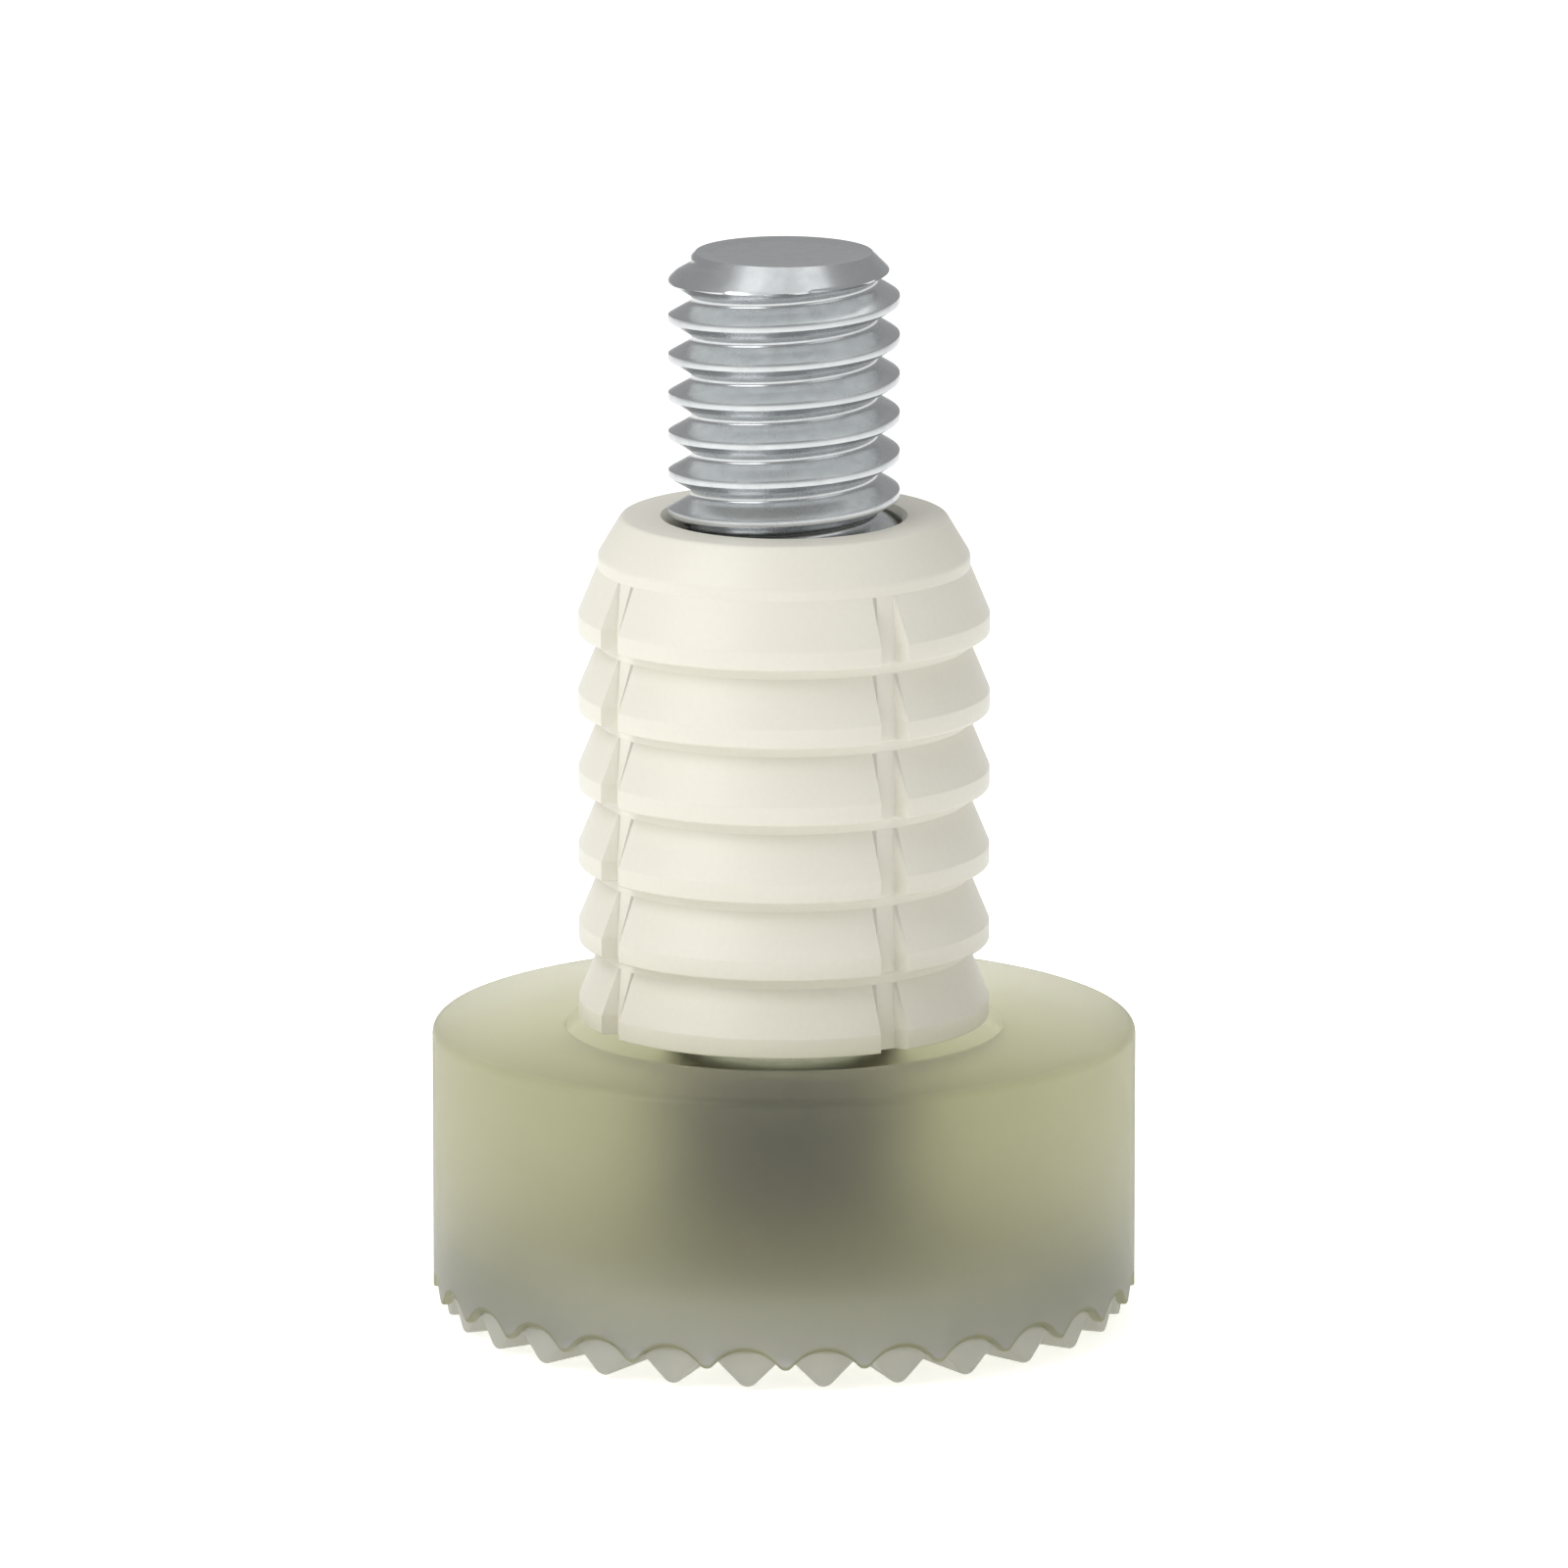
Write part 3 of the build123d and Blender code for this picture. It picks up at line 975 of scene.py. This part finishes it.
class FOOT_OT_sleeve(bpy.types.Operator):
    """Build the knock-in sleeve."""

    bl_idname = "levelling_foot.sleeve"
    bl_label = "Insert Sleeve"

    def execute(self, context):
        s = context.scene.levelling_foot.sleeve
        stem = context.scene.levelling_foot.stem
        crest = BARREL_MOUNT["dims"]["r_mm"] * MM
        barrel = BARREL_MOUNT["dims"]["length_mm"] * MM
        root = crest - s.barb_depth
        low, high = SLEEVE_LOW.z, SLEEVE_HIGH.z
        bore = stem.root + s.root_gap
        mouth = bore + s.mouth
        corner = 0.08 * MM  # roundings
        fine = 0.06 * MM
        corners = [
            (mouth, high, 0),
            (root - s.nose_taper, high, 0.15 * MM),
            (root, high - s.nose_length, 0.3 * MM),
        ]
        barbs = round((barrel - s.barb_land) / s.barb_pitch) + 1
        for i in reversed(range(barbs)):
            z = low + i * s.barb_pitch
            corners.append((root, z + s.barb_land + s.barb_slope, corner))
            corners.append((crest, z + s.barb_land, corner))
            corners.append((crest, z, fine))
            if i > 0:
                corners.append((root, z, corner))
        corners.append((mouth, low, 0))
        outline = rounded(corners, 3)
        slots = 4
        columns = 60  # to a quarter
        half_slot = 2.5  # columns, so that a slot's side lies between two of them
        floor = crest - s.slot_depth
        step = math.tau / slots / columns

        def slotted(angle):
            """The outline, cut down to the slot's floor at the quarter's middle."""
            limit = floor if abs(angle) < half_slot * step else crest
            return [(min(r, limit), z) for r, z in outline]

        angles = [step * (k - columns / 2) for k in range(columns + 1)]
        piece = new_piece("insert_sleeve_moulding", *turned_grid(slotted, angles))
        plastic = white_plastic("white polyamide", s.colour, 0.42)
        apply_tree(piece, ring_tree(), {"Count": slots, "Material": plastic})
        values = thread_values(stem, s.flank_gap)
        values.update(
            {
                "Start Height": low,
                "End Height": high,
                "Low Radius": bore,
                "High Radius": stem.crest + s.crest_gap,
                "Rounding": 0.06 * MM,
                "Start Radius": mouth,
                "End Radius": mouth,
                "Columns": columns * slots,
                "Rows per Turn": 12,
                "Material": plastic,
            }
        )
        apply_tree(piece, thread_tree(inside=True), values)
        finish_piece(piece, "insert_sleeve", "insert")
        return {"FINISHED"}


class FOOT_OT_disc(bpy.types.Operator):
    """Build the glide disc."""

    bl_idname = "levelling_foot.disc"
    bl_label = "Glide Disc"

    def execute(self, context):
        s = context.scene.levelling_foot.disc
        bead = DISC_HIGH.x
        side = bead - s.bead
        top = DISC_HIGH.z
        plate = top - s.ring_height
        bead_low = plate - s.bead_height
        sharp = 0.03 * MM  # roundings
        fine = 0.04 * MM
        soft = 0.05 * MM
        gate_corner = 0.06 * MM
        corners = [
            (0, plate, 0),
            (s.ring_inner, plate, sharp),
            (s.ring_inner, top, sharp),
            (s.ring_outer, top, sharp),
            (s.ring_outer, plate, sharp),
            (bead - s.bead_chamfer, plate, soft),
            (bead, plate - s.bead_chamfer, soft),
            (bead, bead_low, fine),
            (side, bead_low, fine),
            (side, DISC_LOW.z, s.edge),
            (s.gate_radius, DISC_LOW.z, gate_corner),
            (s.gate_radius, DISC_LOW.z + s.gate_depth, gate_corner),
            (0, DISC_LOW.z + s.gate_depth, 0),
        ]
        outline = rounded(corners, 5)
        columns = 160
        angles = [math.tau / columns * k for k in range(2)]
        piece = new_piece("glide_disc_moulding", *turned_grid(lambda a: outline, angles))
        acetal = white_plastic("acetal", s.colour, 0.3)
        apply_tree(piece, ring_tree(), {"Count": columns, "Material": acetal})
        finish_piece(piece, "glide_disc", "floor_disc")
        return {"FINISHED"}


class FOOT_OT_stage(bpy.types.Operator):
    """Set up the floor, the lights and the camera."""

    bl_idname = "levelling_foot.stage"
    bl_label = "Stage"

    def execute(self, context):
        s = context.scene.levelling_foot.stage
        low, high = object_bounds()
        middle = (low + high) / 2
        tall = high.z - low.z

        material, tree, shader = new_material("matt studio floor")
        shader.inputs["Base Color"].default_value = linear(s.floor_colour)
        shader.inputs["Roughness"].default_value = 0.9
        shader.inputs["Emission Color"].default_value = linear(s.floor_colour)
        shader.inputs["Emission Strength"].default_value = s.floor_glow
        # clear from below, so that the underside can be looked at
        below = add_node(tree, "ShaderNodeNewGeometry").outputs["Backfacing"]
        clear = add_node(tree, "ShaderNodeBsdfTransparent").outputs[0]
        surface = add_node(
            tree, "ShaderNodeMixShader", inputs={0: below, 1: shader.outputs[0], 2: clear}
        ).outputs[0]
        tree.links.new(surface, tree.nodes[OUTPUT].inputs["Surface"])
        reach, front = FLOOR_REACH * tall, FLOOR_FRONT * tall
        level = low.z - FLOOR_GAP
        floor = new_piece(
            "studio_floor",
            [(-reach, -front, level), (reach, -front, level), (reach, reach, level), (-reach, reach, level)],
            [(0, 1, 2, 3)],
        )
        floor.data.materials.append(material)
        floor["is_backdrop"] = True

        world = bpy.data.worlds.new("soft studio")
        context.scene.world = world
        world.use_nodes = True
        sky = world.node_tree.nodes["Background"]
        sky.inputs["Color"].default_value = (1.0, 1.0, 1.0, 1.0)
        sky.inputs["Strength"].default_value = s.sky

        for name, azimuth, elevation, size, power in LIGHTS:
            way = direction(math.radians(azimuth), math.radians(elevation))
            data = bpy.data.lights.new(name, "AREA")
            data.size = size * tall
            data.energy = power
            light = bpy.data.objects.new(name, data)
            light.location = middle + way * LIGHT_DISTANCE * tall
            light.rotation_euler = (-way).to_track_quat("-Z", "Y").to_euler()
            context.scene.collection.objects.link(light)

        data = bpy.data.cameras.new("camera")
        data.lens = data.sensor_width * s.distance / (s.margin * tall)
        data.clip_start, data.clip_end = 0.01, 100.0
        camera = bpy.data.objects.new("camera", data)
        way = direction(s.azimuth, s.elevation)
        camera.location = middle + way * s.distance
        camera.rotation_euler = (-way).to_track_quat("-Z", "Y").to_euler()
        context.scene.collection.objects.link(camera)
        context.scene.camera = camera
        context.scene.view_settings.view_transform = "Standard"
        return {"FINISHED"}


class FOOT_PT_panel(bpy.types.Panel):
    """Buttons and settings of the levelling foot."""

    bl_label = "Levelling Foot"
    bl_idname = "FOOT_PT_panel"
    bl_space_type = "VIEW_3D"
    bl_region_type = "UI"
    bl_category = "Levelling Foot"

    def draw(self, context):
        settings = context.scene.levelling_foot
        for operator, group in BUTTONS:
            box = self.layout.box()
            box.operator(operator)
            values = getattr(settings, group)
            for name in values.__annotations__:
                box.prop(values, name)


BUTTONS = (
    ("levelling_foot.disc", "disc"),
    ("levelling_foot.toothed_body", "body"),
    ("levelling_foot.stem", "stem"),
    ("levelling_foot.sleeve", "sleeve"),
    ("levelling_foot.stage", "stage"),
)

CLASSES = (
    BodySettings,
    StemSettings,
    SleeveSettings,
    DiscSettings,
    StageSettings,
    FootSettings,
    FOOT_OT_disc,
    FOOT_OT_toothed_body,
    FOOT_OT_stem,
    FOOT_OT_sleeve,
    FOOT_OT_stage,
    FOOT_PT_panel,
)


def register():
    for cls in CLASSES:
        bpy.utils.register_class(cls)
    bpy.types.Scene.levelling_foot = bpy.props.PointerProperty(type=FootSettings)


def unregister():
    del bpy.types.Scene.levelling_foot
    for cls in reversed(CLASSES):
        bpy.utils.unregister_class(cls)


def main():
    register()
    bpy.ops.levelling_foot.disc()
    bpy.ops.levelling_foot.toothed_body()
    bpy.ops.levelling_foot.stem()
    bpy.ops.levelling_foot.sleeve()
    bpy.ops.levelling_foot.stage()


if __name__ == "__main__":
    main()
